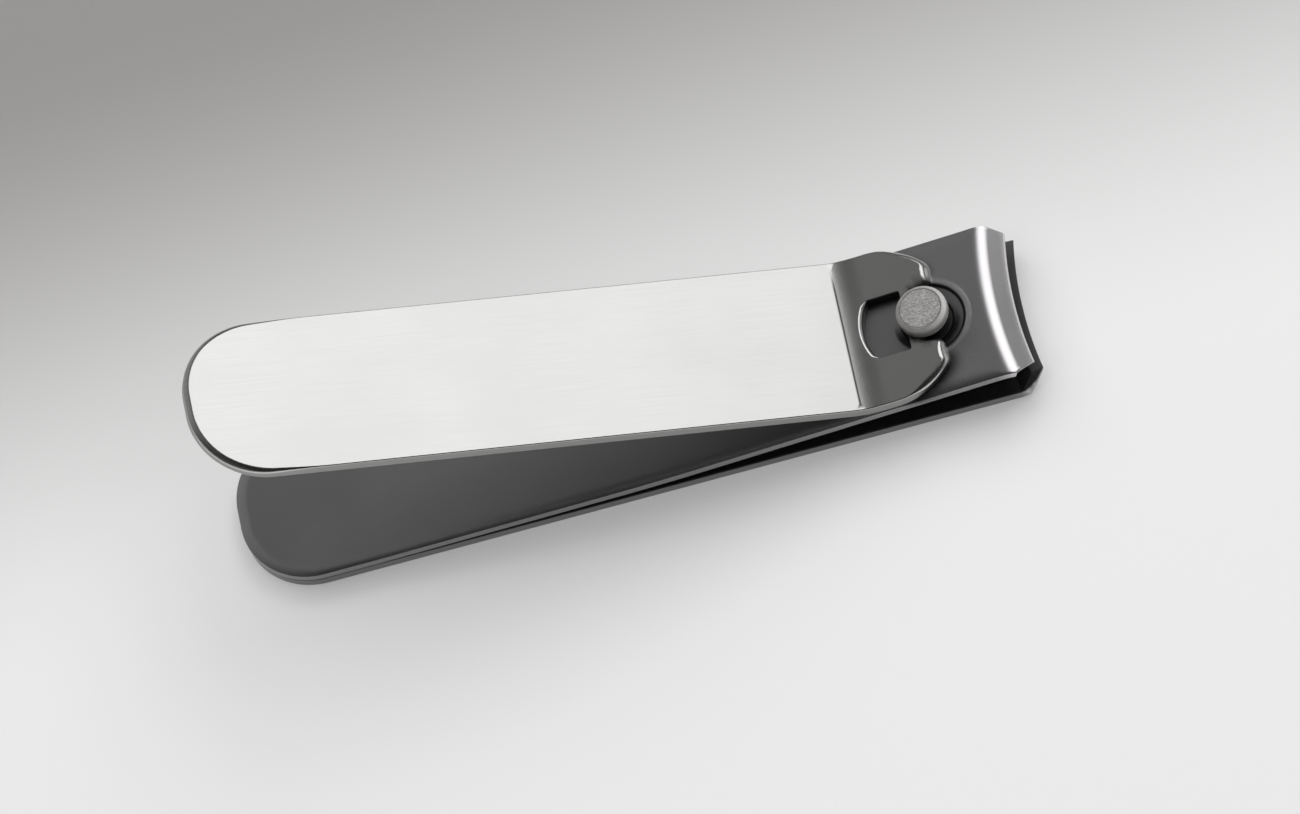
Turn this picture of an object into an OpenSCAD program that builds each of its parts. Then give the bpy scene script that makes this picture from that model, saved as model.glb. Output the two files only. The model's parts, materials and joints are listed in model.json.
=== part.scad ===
// A lever nail clipper, opened ready to clip: two spring arms that are welded
// together at the rear, a headed pin through both of them, and a lever whose
// forked nose hooks under the pin's head.
// X runs along the clipper to the jaws, Y across it and Z up. The origin lies on
// the table under the middle of the length. All lengths are in millimetres.

/* [Arms] */
// Length from the rounded rear end to the front corners of the lower jaw
body_len = 80; // [76:0.5:84]
// Width of both arms
arm_w = 16.5; // [16:0.1:18]
// Thickness of the strip that the arms are made of
arm_t = 1.1; // [1:0.05:1.2]
// Corner radius of the arms' rear end
arm_end_r = 7.2; // [5:0.1:7.8]
// Length at the rear over which the arms lie flat on each other
weld_len = 12.2; // [10:0.1:14]
// Length of the straight rise ahead of the welded end
rise_len = 24; // [21:0.5:27]
// Radius of the arch between the straight rise and the flat front
arch_r = 170; // [140:5:200]
// Slope of the upper arm's flat front, in degrees
front_slope = 4.6; // [4.3:0.1:5]

/* [Jaws] */
// Distance from the pin forward to the middle of the upper cutting edge
upper_reach = 8.5; // [8.2:0.05:8.8]
// Depth of the upper cutting edge below the top face of its arm
upper_drop = 1.5; // [1.35:0.05:1.65]
// Slope of the upper lip against its arm, in degrees
upper_lip_angle = 28; // [26:1:32]
// Height of the lower cutting edge above the table
lower_rise = 2.95; // [2.8:0.05:3.1]
// Slope of the lower lip against its arm, in degrees
lower_lip_angle = 52; // [46:1:58]
// Radius of both cutting edges, seen from above
edge_r = 42; // [35:1:60]
// Width of both cutting edges
edge_w = 14.3; // [13.5:0.1:15]
// Length in X of the cut-off corners beside the lips
corner_len = 1.7; // [1.3:0.1:2]
// Outer radius of the bend from arm to lip
bend_r = 1.6; // [1.4:0.05:1.9]
// Width of the ground bevel along the cutting edges
bevel_w = 0.3; // [0.2:0.05:0.4]

/* [Pin] */
// Distance from the pin's axis forward to the front corners of the lower jaw
pin_setback = 9.8; // [9.6:0.1:10.2]
// Radius of the pin's shank and head
pin_r = 2.5; // [2.3:0.05:2.6]
// Radius of the neck that the lever hooks into
neck_r = 1.5; // [1.3:0.05:1.6]
// Thickness of the head
head_t = 1.3; // [1.1:0.05:1.5]
// Chamfer round the head
head_chamfer = 0.25; // [0.15:0.05:0.35]
// Radius of the flange at the pin's foot
foot_r = 3.2; // [3:0.05:3.4]
// Thickness of that flange
foot_t = 0.45; // [0.4:0.05:0.5]
// Wall of the lower arm's boss beside that flange
boss_wall = 0.7; // [0.6:0.05:0.9]
// Radius of the round dish pressed into the upper arm
dish_r = 4; // [3.8:0.1:4.3]
// Depth of that dish
dish_depth = 0.45; // [0.4:0.05:0.5]

/* [Lever] */
// How far the lever stands out beyond each side of the arms
lever_over = 0; // [0:0.05:0.4]
// Thickness of the lever
lever_t = 1.2; // [1.1:0.05:1.3]
// Length of the flat panel behind the fold
panel_len = 64.4; // [60:0.2:64.8]
// Angle by which the panel is folded up from the nose, in degrees
fold_angle = 24; // [22:0.5:26]
// Radius of the fold on the lever's upper side
fold_r = 1.2; // [1:0.1:1.6]
// Corner radius of the panel's rear end
lever_end_r = 7.4; // [5:0.1:7.8]
// Distance from the fold forward to the pin's axis
nose_len = 8.1; // [7.8:0.05:8.4]
// Distance behind the pin at which the nose starts to narrow
shoulder_x = 4.5; // [4.3:0.1:4.8]
// Radius of the nose's outer sides
shoulder_r = 7.5; // [7.3:0.05:7.8]
// Radius of the two lobes of the fork
lobe_r = 1.3; // [1.2:0.05:1.35]
// Distance between the centres of the two lobes
lobe_span = 9.7; // [9.6:0.1:10.2]
// Distance from the pin back to the rear of the nose's window
window_back = 6.1; // [5.9:0.05:6.3]
// Depth of the window's curved rear edge
window_sag = 0.9; // [0.6:0.05:1.1]
// Distance from the pin back to the rear of the hooking tabs
tab_back = 1.9; // [1.8:0.05:2]
// Distance from the pin back to the front of the hooking tabs
tab_front = 0.5; // [0.4:0.05:0.6]

/* [Spot welds] */
// Radius of each spot weld
weld_r = 1.4; // [1:0.1:1.8]
// Thickness of each spot weld
weld_t = 0.5; // [0.4:0.05:0.6]
// Distance between the two spot welds
weld_pitch = 4; // [3.8:0.1:4.2]

/* [Clearances] */
// Gap between the lever's nose and the upper arm
nose_gap = 0.05; // [0.03:0.01:0.08]
// Gap between the lever's nose and the underside of the head
head_gap = 0.06; // [0.04:0.01:0.1]
// Gap round the pin in the lower arm's hole
pin_gap = 0.05; // [0.03:0.01:0.08]
// Gap round the pin in the upper arm's hole, which swings past it
swing_gap = 0.15; // [0.12:0.01:0.25]
// Gap beside the neck, between the hooking tabs and the pin
tab_gap = 0.15; // [0.1:0.01:0.2]
// Gap beside the head where it passes through the window
window_gap = 0.7; // [0.5:0.05:0.8]
// Gap over and under the foot flange, and between the closed cutting edges
seat_gap = 0.03; // [0.02:0.01:0.05]
// Gap round the foot flange and round each spot weld
rim_gap = 0.1; // [0.05:0.01:0.15]
// Depth of the neck below the nose, in which the tabs swing down
swing_depth = 0.4; // [0.36:0.01:0.44]

/* [Hidden] */
$fn = 96;

// Small overshoot of every cut
past = 1;
// Steepest part of the bevel, and the slope of the ground face behind each edge
bevel_angle = 72;
ground_angle = 6;
// Slope in degrees that is left between the arms when the jaws are shut
slope_left = 0.12;
// Slope of the rise, in degrees, from which the two passes below start
slope_guess = 1.4;
// Segments in an arc of an outline, and in a full turn along a cutting edge
arc_steps = 16;
sweep_steps = 360;

// Places along X
rear_x = -body_len / 2;
front_x = body_len / 2;
pin_x = front_x - pin_setback;
hinge_x = rear_x + weld_len;

// How far a cutting edge's ends lie ahead of its middle
edge_sag = edge_r - sqrt(edge_r * edge_r - edge_w * edge_w / 4);
lower_reach = pin_setback - edge_sag;

// The upper arm's underside: a straight rise, an arch and a flat front. The rise
// is a little steeper than the angle through which the arm swings shut. That
// angle follows from the mouth's height, which the front's own rise gives.
// Two passes settle it.
function rise_end(slope) = [hinge_x + rise_len * cos(slope), arm_t + rise_len * sin(slope)];
function arch_end(slope) = rise_end(slope)
    + arch_r * [sin(front_slope) - sin(slope), cos(slope) - cos(front_slope)];
function arm_top_z(slope, x) = arch_end(slope).y + arm_t / cos(front_slope)
    + (x - arch_end(slope).x) * tan(front_slope);
function edge_z(slope) = arm_top_z(slope, pin_x)
    + upper_reach * sin(front_slope) - upper_drop * cos(front_slope);
function shut_angle(slope) = asin((edge_z(slope) - lower_rise - seat_gap) / (edge_x - hinge_x));
edge_x = pin_x + upper_reach * cos(front_slope) + upper_drop * sin(front_slope);
first_slope = shut_angle(slope_guess) + slope_left;
rise_slope = shut_angle(first_slope) + slope_left;
pin_z = arm_top_z(rise_slope, pin_x);

// Levels along the pin's axis, measured up from the upper arm's top face
nose_u = nose_gap;
head_u = nose_u + lever_t + head_gap;
neck_u = -swing_depth;
foot_u = (seat_gap + foot_r * sin(front_slope) - pin_z) / cos(front_slope);
recess_u = foot_u + foot_t + seat_gap;
boss_u = recess_u + arm_t;
boss_base_u = foot_u + foot_t / 2;
boss_h = boss_u - boss_base_u;
boss_r = foot_r + rim_gap + boss_wall;

// Depth of the bulge under the upper arm's dish, and its radius where it is lowest.
// The walls of the dish slope at 45 degrees, and the metal keeps its thickness
bulge_h = dish_depth + arm_t / 2;
bulge_r = dish_r - dish_depth + arm_t * tan(22.5);

// The lever's width and the fork's outline
lever_w = arm_w + 2 * lever_over;
shoulder_y = lever_w / 2 - shoulder_r;
lobe_y = lobe_span / 2;
lobe_angle = asin((lobe_y - shoulder_y) / (shoulder_r - lobe_r));
lobe_x = -shoulder_x + (shoulder_r - lobe_r) * cos(lobe_angle);
window_y = pin_r + window_gap;
window_r = (window_y * window_y + window_sag * window_sag) / (2 * window_sag);
window_angle = asin(window_y / window_r);
tab_y = neck_r + tab_gap;
flare_y = window_y - window_gap / 2;
lobe_end_angle = -105;

// Points of an arc from one angle to another
function arc(centre, r, from, to) = [
    for (i = [0:arc_steps])
        let (a = from + (to - from) * i / arc_steps)
        centre + r * [cos(a), sin(a)]
];

// An outline from the points of its +Y half
function both_sides(half) = concat(
    half,
    [for (i = [len(half) - 1:-1:0]) [half[i].x, -half[i].y]]
);

// The frame of the pin: origin on its axis in the upper arm's top face, Z along it
module pin_frame() {
    translate([pin_x, 0, pin_z]) rotate([0, -front_slope, 0]) children();
}

// A strip from x = 0 back to -length, with a rounded rear end
module strip(length, width, r) {
    translate([-length + r, width / 2 - r]) circle(r);
    translate([-length + r, -width / 2 + r]) circle(r);
    translate([-length, r - width / 2]) square([length, width - 2 * r]);
    translate([r - length, -width / 2]) square([length - r, width]);
}

// Outline of an arm whose front corners lie at tip_x and are cut off
module arm_outline(tip_x) {
    corner_x = tip_x - corner_len;
    slope = (arm_w - edge_w) / 2 / corner_len;
    ahead = [tip_x + past, edge_w / 2 - slope * past];
    translate([corner_x, 0]) strip(corner_x - rear_x, arm_w, arm_end_r);
    polygon([
        [corner_x, -arm_w / 2], [ahead.x, -ahead.y], ahead, [corner_x, arm_w / 2]
    ]);
}

// Section of a jaw, top face at z = 0: the end of the arm, the bend and the lip,
// whose cutting edge lies reach ahead and drop below
function lip_bend_x(reach, drop, angle) = reach - bevel_w * cos(bevel_angle)
    - (drop - bevel_w * sin(bevel_angle)) / tan(angle) - bend_r * tan(angle / 2);
function jaw_section(reach, drop, angle) =
    let (
        edge = [reach, -drop],
        bend_x = lip_bend_x(reach, drop, angle),
        bend_centre = [bend_x, -bend_r],
        inner = bend_centre + (bend_r - arm_t) * [sin(angle), cos(angle)],
        ground = tan(ground_angle),
        fall = edge.y + (edge.x - inner.x) * ground - inner.y,
        along = fall / (ground * cos(angle) - sin(angle))
    )
    concat(
        [[bend_x - past, 0]],
        arc(bend_centre, bend_r, 90, 90 - angle),
        [
            edge + bevel_w * [-cos(bevel_angle), sin(bevel_angle)],
            edge,
            inner + along * [cos(angle), -sin(angle)]
        ],
        arc(bend_centre, bend_r - arm_t, 90 - angle, 90),
        [[bend_x - past, -arm_t]]
    );

// The section swept along the curved cutting edge, with the arm's plate behind it
module jaw(reach, drop, angle) {
    axis_x = reach + edge_r;
    half_sweep = asin(arm_w / 2 / edge_r) + past;
    mouth_r = axis_x - lip_bend_x(reach, drop, angle);
    translate([axis_x, 0, 0]) rotate([0, 0, 180 - half_sweep])
        rotate_extrude(angle = 2 * half_sweep, $fn = sweep_steps)
            polygon([for (p = jaw_section(reach, drop, angle)) [axis_x - p.x, p.y]]);
    difference() {
        translate([0, -arm_w / 2 - past, -arm_t]) cube([reach, arm_w + 2 * past, arm_t]);
        translate([axis_x, 0, -arm_t - past]) cylinder(h = arm_t + 2 * past, r = mouth_r, $fn = sweep_steps);
    }
}

// A point of the XZ plane, seen in the frame of the pin
function from_pin(p) = [
    (p.x - pin_x) * cos(front_slope) + (p.y - pin_z) * sin(front_slope),
    (p.y - pin_z) * cos(front_slope) - (p.x - pin_x) * sin(front_slope)
];

// Side view of the upper arm from its rear end to the pin, in the frame of the pin
module upper_side() {
    slopes = [
        for (i = [0:arc_steps]) rise_slope + (front_slope - rise_slope) * i / arc_steps
    ];
    below = [
        for (a = slopes)
            rise_end(rise_slope) + arch_r * [sin(a) - sin(rise_slope), cos(rise_slope) - cos(a)]
    ];
    above = [for (i = [arc_steps:-1:0]) below[i] + arm_t * [-sin(slopes[i]), cos(slopes[i])]];
    rear = [
        [hinge_x - arm_t * tan(rise_slope / 2), 2 * arm_t],
        [rear_x - past, 2 * arm_t],
        [rear_x - past, arm_t],
        [hinge_x, arm_t]
    ];
    polygon(concat(
        [for (p = concat(rear, below)) from_pin(p)],
        [[past, -arm_t], [past, 0]],
        [for (p = above) from_pin(p)]
    ));
}

// A side view, drawn in X and Z, as a solid of a given width
module across(width) {
    translate([0, width / 2, 0]) rotate([90, 0, 0]) linear_extrude(width) children();
}

// Places of the two spot welds, in the contact plane of the arms
module at_welds() {
    for (side = [-1, 1])
        translate([rear_x + weld_len / 2 + side * weld_pitch / 2, 0, arm_t]) children();
}

// Room for the spot welds in each arm
module weld_pockets() {
    at_welds() cylinder(h = weld_t, r = weld_r + rim_gap, center = true);
}

// Lower arm: a flat strip with its jaw bent up, and a hollow boss for the pin's foot
module lower_arm() {
    color([0.40, 0.39, 0.40]) difference() {
        union() {
            intersection() {
                linear_extrude(lower_rise + past) arm_outline(front_x);
                union() {
                    translate([rear_x - past, -arm_w / 2 - past, 0])
                        cube([pin_x - rear_x + 2 * past, arm_w + 2 * past, arm_t]);
                    translate([pin_x, 0, 0]) mirror([0, 0, 1])
                        jaw(lower_reach, lower_rise, lower_lip_angle);
                }
            }
            pin_frame() translate([0, 0, boss_base_u])
                cylinder(h = boss_h, r1 = boss_r + boss_h, r2 = boss_r);
        }
        pin_frame() translate([0, 0, foot_u - past])
            cylinder(h = recess_u - foot_u + past, r = foot_r + rim_gap);
        pin_frame() translate([0, 0, foot_u]) cylinder(h = boss_u - foot_u + past, r = pin_r + pin_gap);
        weld_pockets();
    }
}

// Upper arm: the sprung strip with its jaw bent down and a round dish about the pin
module upper_arm() {
    color([0.42, 0.41, 0.42]) difference() {
        union() {
            intersection() {
                linear_extrude(pin_z + arm_t + past)
                    arm_outline(edge_x + edge_sag);
                pin_frame() union() {
                    across(arm_w + 2 * past) upper_side();
                    jaw(upper_reach, upper_drop, upper_lip_angle);
                }
            }
            pin_frame() translate([0, 0, -arm_t - dish_depth])
                cylinder(h = bulge_h, r1 = bulge_r, r2 = bulge_r + bulge_h);
        }
        pin_frame() translate([0, 0, -dish_depth])
            cylinder(h = dish_depth + past, r1 = dish_r - dish_depth, r2 = dish_r + past);
        pin_frame() translate([0, 0, -arm_t - dish_depth - past])
            cylinder(h = arm_t + dish_depth + 2 * past, r = pin_r + swing_gap);
        weld_pockets();
    }
}

// Spot welds that join the arms at the rear
module spot_welds() {
    color([0.36, 0.35, 0.36]) at_welds() cylinder(h = weld_t, r = weld_r, center = true);
}

// Pin: foot flange, shank, neck and chamfered head, turned from one rod
module pin() {
    head_top = head_u + head_t;
    color([0.62, 0.60, 0.60]) pin_frame() rotate_extrude() polygon([
        [0, foot_u], [foot_r, foot_u], [foot_r, foot_u + foot_t], [pin_r, foot_u + foot_t],
        [pin_r, neck_u], [neck_r, neck_u], [neck_r, head_u], [pin_r, head_u],
        [pin_r, head_top - head_chamfer], [pin_r - head_chamfer, head_top], [0, head_top]
    ]);
}

// Outline of the lever's nose: rounded shoulders, two lobes, hooking tabs and window
module nose_outline() {
    polygon(both_sides(concat(
        [[-nose_len, lever_w / 2]],
        arc([-shoulder_x, shoulder_y], shoulder_r, 90, lobe_angle),
        arc([lobe_x, lobe_y], lobe_r, lobe_angle, lobe_end_angle),
        [
            [-tab_front, flare_y], [-tab_front, tab_y], [-tab_back, tab_y], [-tab_back, window_y]
        ],
        arc([window_r - window_back, 0], window_r, 180 - window_angle, 180)
    )));
}

// Side view of the lever's fold and panel, with z = 0 under the nose
module panel_side() {
    fold_centre = [-nose_len, lever_t + fold_r];
    inward = [sin(fold_angle), cos(fold_angle)];
    run = (panel_len + past) * [-cos(fold_angle), sin(fold_angle)];
    polygon(concat(
        arc(fold_centre, fold_r + lever_t, -90, -90 - fold_angle),
        [fold_centre - (fold_r + lever_t) * inward + run, fold_centre - fold_r * inward + run],
        arc(fold_centre, fold_r, -90 - fold_angle, -90)
    ));
}

// Lever: the flat nose, and the fold and panel, cut to the panel's outline
module lever() {
    fold_z = lever_t + fold_r;
    color([0.88, 0.88, 0.87]) pin_frame() translate([0, 0, nose_u]) {
        linear_extrude(lever_t) nose_outline();
        intersection() {
            across(lever_w + 2 * past) panel_side();
            translate([-nose_len, 0, fold_z]) rotate([0, fold_angle, 0])
                translate([fold_z, 0, -fold_z - past]) linear_extrude(fold_z + past)
                    strip(panel_len + fold_z, lever_w, lever_end_r);
        }
    }
}

lower_arm();
upper_arm();
spot_welds();
pin();
lever();
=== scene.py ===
import json
import math

import bpy
import numpy as np
from mathutils import Matrix, Vector
from mathutils.geometry import delaunay_2d_cdt


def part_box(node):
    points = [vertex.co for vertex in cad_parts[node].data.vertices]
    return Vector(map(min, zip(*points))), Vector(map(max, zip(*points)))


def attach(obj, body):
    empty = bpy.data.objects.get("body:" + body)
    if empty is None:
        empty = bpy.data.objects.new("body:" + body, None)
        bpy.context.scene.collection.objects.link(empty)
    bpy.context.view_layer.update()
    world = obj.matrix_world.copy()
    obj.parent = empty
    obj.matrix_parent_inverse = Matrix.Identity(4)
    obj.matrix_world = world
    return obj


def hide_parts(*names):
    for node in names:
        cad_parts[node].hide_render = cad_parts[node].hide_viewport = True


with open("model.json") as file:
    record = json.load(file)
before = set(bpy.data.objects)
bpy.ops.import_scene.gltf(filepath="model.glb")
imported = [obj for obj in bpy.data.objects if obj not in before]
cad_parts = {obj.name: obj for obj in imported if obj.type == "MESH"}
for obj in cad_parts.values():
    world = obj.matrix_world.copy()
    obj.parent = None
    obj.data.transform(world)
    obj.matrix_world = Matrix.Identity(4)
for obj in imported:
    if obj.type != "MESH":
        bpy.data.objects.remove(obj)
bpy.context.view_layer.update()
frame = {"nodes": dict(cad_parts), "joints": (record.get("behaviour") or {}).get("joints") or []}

MM = 0.001
JOINTS = {joint["name"]: joint for joint in frame["joints"]}

# Frame of the pin: its axis, where that meets the upper arm's top face, and its slope
PIN_AT = np.array(JOINTS["pin_swivel"]["pos_m"]) / MM
PIN_AXIS = np.array(JOINTS["pin_swivel"]["axis"])
SLOPE = math.atan2(-PIN_AXIS[0], PIN_AXIS[2])
HINGE_AT = np.array(JOINTS["jaw_close"]["pos_m"]) / MM

# Both arms
ARM_LOW, ARM_HIGH = (np.array(corner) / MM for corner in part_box("lower_arm"))
ARM_W = ARM_HIGH[1] - ARM_LOW[1]
ARM_T = HINGE_AT[2]
REAR_X = ARM_LOW[0]
FRONT_X = ARM_HIGH[0]
ARM_END_R = 7.2
RISE_LEN = 24
ARCH_R = 170
WELD_BEND_R = 40

# Jaws: bends, lips and cutting edges
EDGE_R = 42
EDGE_W = 14.3
UPPER_BEND_R = 3.3
LOWER_BEND_R = 1.6
UPPER_REACH = 8.5
UPPER_DROP = 1.5
UPPER_LIP = math.radians(28)
LOWER_RISE = ARM_HIGH[2]
LOWER_LIP = math.radians(52)
BEVEL_W = 0.4
BEVEL_ANGLE = math.radians(72)
GROUND_ANGLE = math.radians(6)
CORNER_LEN = 1.7

# Pin, the hole and the dish about it in the upper arm, and the boss in the lower one
PIN_R = 2.5
NECK_R = 1.5
FOOT_R = 3.2
FOOT_T = 0.45
HEAD_TOP = 2.61
HEAD_UNDER = 1.31
NECK_LOW = -0.4
HEAD_CHAMFER = 0.38
HEAD_R = 2.57
HEAD_ROUND = 0.5
PIN_RIM = 0.12
PIN_TOP_RIM = 0.08
FOOT_CORNER = 0.05
NECK_CORNER = 0.15
PIN_STEPS = 6
PIN_ROUND = 96
TOP_RADII = (2.0, 1.5, 1.0, 0.5)
FLOOR_GAP = 0.03
PIN_GAP = 0.05
HOLE_R = 2.65
HOLE_RIM = 0.05
HOLE_ROUND = 72
DISH_X = 0.15
DISH_R = 3.75
DISH_DEPTH = 0.45
DISH_WALL = 0.2
DISH_WALL_W = 0.28
DISH_SLOPE_W = 1.5
DISH_BRIM = 0.045
DISH_BRIM_W = 0.3
DISH_BEHIND = 2.3
DISH_RUNOUT = 1.4
DISH_CLEAR = 1.5
BOSS_TOP = 1.861
BOSS_R = 3.5
BOSS_WALL = 1.0
BOSS_WALL_SHARE = 0.8
BOSS_TAPER = 0.35
BOSS_LEAN = 0.5

# Lever
LEVER_LOW, LEVER_HIGH = (np.array(corner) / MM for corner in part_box("lever"))
LEVER_W = LEVER_HIGH[1] - LEVER_LOW[1]
LEVER_T = 1.2
NOSE_GAP = 0.05
NOSE_LEN = 8.1
FOLD = math.radians(24)
FOLD_R = 1.2
EASE = math.radians(10.5)
EASE_LEN = 2.7
CREASE_R = 0.5
CREASE_AT = NOSE_LEN - 0.25
PANEL_LEN = 64.4
LEVER_END_R = 7.4
SHOULDER_X = 4.5
SHOULDER_R = 7.5
LOBE_R = 1.3
LOBE_Y = 4.85
LOBE_END = 5  # degrees
WINDOW_BACK = 6.1
WINDOW_Y = 3.2
WINDOW_SAG = 0.9
WINDOW_CORNER_R = 0.25
TAB_Y = 1.65
TAB_BACK = 1.9
TAB_BACK_R = 0.2
TAB_FRONT = 0.5
TAB_FRONT_R = 0.25
LOBE_FRONT = 1.25
LOBE_FRONT_R = 0.75
FLARE_Y = 2.8
FLARE_R = 0.15

# Edges: radii of the rounded rims, and the rolled edge of the upper arm
LEVER_RIM = 0.12
LOBE_RIM = 1.03
LOBE_RIM_LOW = 0.14
LOWER_RIM = (0.17, 0.2)
ARM_ROLL = 1.3
ARM_SAG = 0.22
ARM_RIM_LOW = 0.15
ROLL_SHARE = 0.8
ROLL_CORNER = 0.05
CUT_CORNER_R = 0.35
BEVEL_R = 0.06
SHARP_R = 0.02
INNER_R = 0.12

# Fades. A span says where a value starts to count and over what width it comes to count in
# full: first the jaws, then the lever's broad rim on the lobes, window and rear end
EDGE_FADE = CORNER_LEN + 0.3
EDGE_MARGIN = 0.02
EDGE_SHARE = 0.9
NARROW_BEFORE = 2.5
NARROW_LEN = 1.8
NARROW_SHARE = 0.85
POLISH_PAST = 0.1
POLISH_FADE = 0.5
POLISH_EDGE = 0.05
INNER_SPAN = (-0.9, 0.9)
INNER_ASIDE = FLARE_Y + 0.7
LOBE_SPAN = (-3.4, 2.6)
LOBE_ASIDE_SPAN = (3.0, 1.5)
LOBE_LEAST = 0.5
SHOULDER_SPAN = (4.9, 1.2)
SHOULDER_LESS = 0.45
WINDOW_RIM = 0.4
WINDOW_BACK_SPAN = (5.0, 0.3)
WINDOW_END_SPAN = (-6.6, 0.3)
WINDOW_ASIDE_SPAN = (-3.1, 0.5)
REAR_RIM = 0.6
REAR_RIM_LEN = 13
REAR_RIM_FADE = 10

# Painted shade on the upper arm, which also makes it rougher: under the nose, in a patch beside
# the pin, in the dish and its corner, about the hole and beside the nose. Each strength is a share
# of full painted shade
NOSE_SHADE = 0.35
NOSE_SHADE_AROUND_SPAN = (6.4, 1.6)
NOSE_SHADE_BACK_SPAN = (0.5, 1.5)
PATCH_SHADE = 0.33
PATCH_X = 2.8
PATCH_Y = -3.2
PATCH_R = 1.5
DISH_SHADE = 0.38
DISH_SHADE_W = 0.2
DISH_CORNER_SHADE = 0.85
DISH_CORNER_W = 0.16
BRIM_SHEEN_W = 0.2
NEAR_SPAN = (-1.5, 3)
BACK_SPAN = (-0.5, 1.5)
HOLE_SHADE_W = 0.3
HOLE_SHADE_BACK = 0.25
HOLE_SHADE_FADE = 0.2
HOLE_SHADE_NEAR = 0.6
BESIDE_FROM = -3
BESIDE_SHADE = 0.45
BESIDE_SHADE_NEAR = 0.45
BESIDE_W = 0.35
BESIDE_W_NEAR = 0.7

# Painted shade on the lower arm's cut edge, and on the lever: in the crease, on the window's walls
# and about the head, wider beyond it
CUT_SHADE = 0.25
CUT_MARGIN = 0.05
CREASE_SHADE_W = 0.1
CREASE_SHADE_SHORT = 0.6
CREASE_SHADE_FADE = 2.5
WALL_SHADE = 0.75
WALL_TOP = 0.1
WALL_ASIDE = WINDOW_Y + 0.15
WALL_BEHIND = WINDOW_BACK + 0.3
BEYOND_ASIDE_SPAN = (0, 3)
BEYOND_AHEAD_SPAN = (-1.5, 1.5)
BEYOND_W = 0.75
HEAD_SHADE_SPAN = (0.25, 0.5)

# Pin: its flat top, the neck darkened with painted shade, and the edge bright from wear with a
# painted highlight, stronger towards the jaws
TOP_SPAN = (0.97, 0.02)
LOW_FADE = 0.3
LOW_DEPTH = 1.6
LOW_END = 0.6
SHEEN_LEAST = 0.15
SHEEN_SPAN = (-0.3, 2.2)

# Mesh: spacing of points along curves and straights, and the least and greatest that count
CURVE_GAP = 0.25
CURVE_TURN = math.radians(12)
STRAIGHT_GAP = 1.0
FAR = 100.0
TINY = 0.001
NO_RISE = 1e-12
MERGE_GAP = 1e-9
HALVINGS = 60

# Mesh: seed points inside the plates, as (from, to, gap) of rows or rings where a piece needs
# them close together
ROW_GAP = 1.0
SEED_GAP = 0.75
FINE_GAP = 0.3
BEND_GAP = 0.12
BEND_MARGIN = 0.2
ARM_MARGIN = 0.1
LEVER_MARGIN = 0.05
HOLE_MARGIN = 0.12
NOSE_SEEDS = (-2.5, 3.4, FINE_GAP)
DISH_SEEDS = (2.4, DISH_R + 0.9, 0.1)
DISH_SEEDS_CLEAR = DISH_R + 1.1
DISH_SEEDS_ROUND = 96
BOSS_SEEDS = (2.8, BOSS_R + 1.5, 0.15)
BOSS_SEEDS_CLEAR = BOSS_R + 1.7
BOSS_SEEDS_ROUND = 72
FOLD_SEEDS = (-NOSE_LEN - 0.4, -NOSE_LEN + 0.6, 0.06)
FORK_SEEDS = (-NOSE_LEN + 0.7, 2, FINE_GAP)


# Outlines and edge profiles

def unit(v):
    return v / np.linalg.norm(v, axis=-1, keepdims=True)


def smooth(t):
    t = np.clip(t, 0, 1)
    return t * t * (3 - 2 * t)


def rises(value, start, width):
    """0 up to start, and 1 from that width past it."""
    return smooth((value - start) / width)


def bell(distance, width):
    return np.exp(-(distance / width) ** 2)


def turned(v, angle):
    c, s = math.cos(angle), math.sin(angle)
    return np.array([c * v[0] - s * v[1], s * v[0] + c * v[1]])


def fillet(before, here, after, radius, steps=None):
    """Points of a rounded corner, with the normals on the right of the way along it."""
    into, out = unit(here - before), unit(after - here)
    turn = math.atan2(into[0] * out[1] - into[1] * out[0], into @ out)
    side = math.copysign(1, turn)
    normal = np.array([into[1], -into[0]])
    centre = here - into * radius * math.tan(abs(turn) / 2) - side * normal * radius
    if steps is None:
        by_length, by_turn = abs(turn) * radius / CURVE_GAP, abs(turn) / CURVE_TURN
        steps = max(2, math.ceil(by_length), math.ceil(by_turn))
    normals = [turned(normal, turn * k / steps) for k in range(steps + 1)]
    return [centre + side * n * radius for n in normals], normals


def arc(centre, radius, start, stop):
    """Corners with no fillet along an arc, its angles in degrees."""
    count = max(2, math.ceil(abs(math.radians(stop - start)) * radius / CURVE_GAP))
    angles = np.radians(np.linspace(start, stop, count + 1))
    x, y = centre
    return [(x + radius * math.cos(a), y + radius * math.sin(a), 0) for a in angles]


def outline(corners):
    """Closed outline with the metal on its left, from corners (x, y, fillet radius)."""
    flat = np.array([c[:2] for c in corners], float)
    points, normals = [], []
    for i, corner in enumerate(corners):
        before, here, after = flat[i - 1], flat[i], flat[(i + 1) % len(flat)]
        if corner[2]:
            p, n = fillet(before, here, after, corner[2])
        else:
            way = unit(unit(here - before) + unit(after - here))
            p, n = [here], [np.array([way[1], -way[0]])]
        points += p
        normals += n
    full_p, full_n = [], []
    for i, p in enumerate(points):
        j = (i + 1) % len(points)
        parts = max(1, math.ceil(np.linalg.norm(points[j] - p) / STRAIGHT_GAP))
        for k in range(parts):
            t = k / parts
            full_p.append(p + (points[j] - p) * t)
            full_n.append(unit(normals[i] * (1 - t) + normals[j] * t))
    return np.array(full_p), np.array(full_n)


def mirrored(half):
    """Corners of a whole outline from those of its -Y half, which run from rear to front."""
    return half + [(x, -y, r) for x, y, r in reversed(half) if abs(y) > TINY]


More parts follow.
